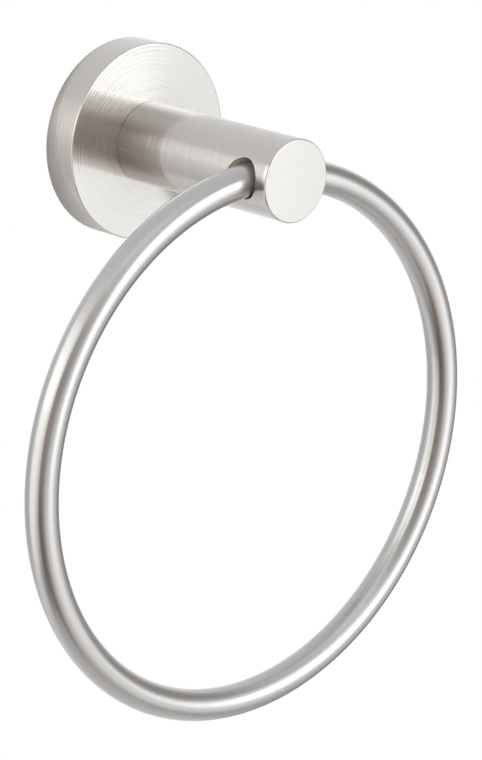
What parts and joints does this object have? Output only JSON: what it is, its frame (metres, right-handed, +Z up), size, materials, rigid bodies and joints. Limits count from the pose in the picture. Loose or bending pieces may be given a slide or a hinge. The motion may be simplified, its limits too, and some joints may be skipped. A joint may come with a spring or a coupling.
{
  "type": "towel ring",
  "caption": "Wall-mounted towel ring: a round rod ring hangs in a cross bore near the end of a round post on a disc flange, and swings freely.",
  "frame": {"origin": "centre of the wall plate's back face, on the wall, where the post's axis meets it", "axes": "+Y into the wall, the post stands out along -Y, +Z up, +X to the right seen from the room"},
  "size_m": [0.16, 0.071, 0.1836],
  "materials": {
    "turned_steel": "satin, brushed round the turned faces and straight across the post's end",
    "rod_steel": "satin, brushed round the rod",
    "plated_steel": "dull zinc plate",
    "screw_steel": "plain stainless"
  },
  "bodies": {
    "wall_mount": {"wall_flange": "turned_steel", "post": "turned_steel", "wall_plate": "plated_steel", "clamp_washer": "screw_steel", "clamp_screw": "screw_steel", "grub_screw": "screw_steel"},
    "hanging_ring": {"ring": "rod_steel"}
  },
  "joints": [
    {"name": "ring_swing", "type": "hinge", "parent": "wall_mount", "child": "hanging_ring", "pos_m": [0, -0.0615, -0.00008], "axis": [-1, 0, 0], "range_deg": [-22, 202]}
  ]
}
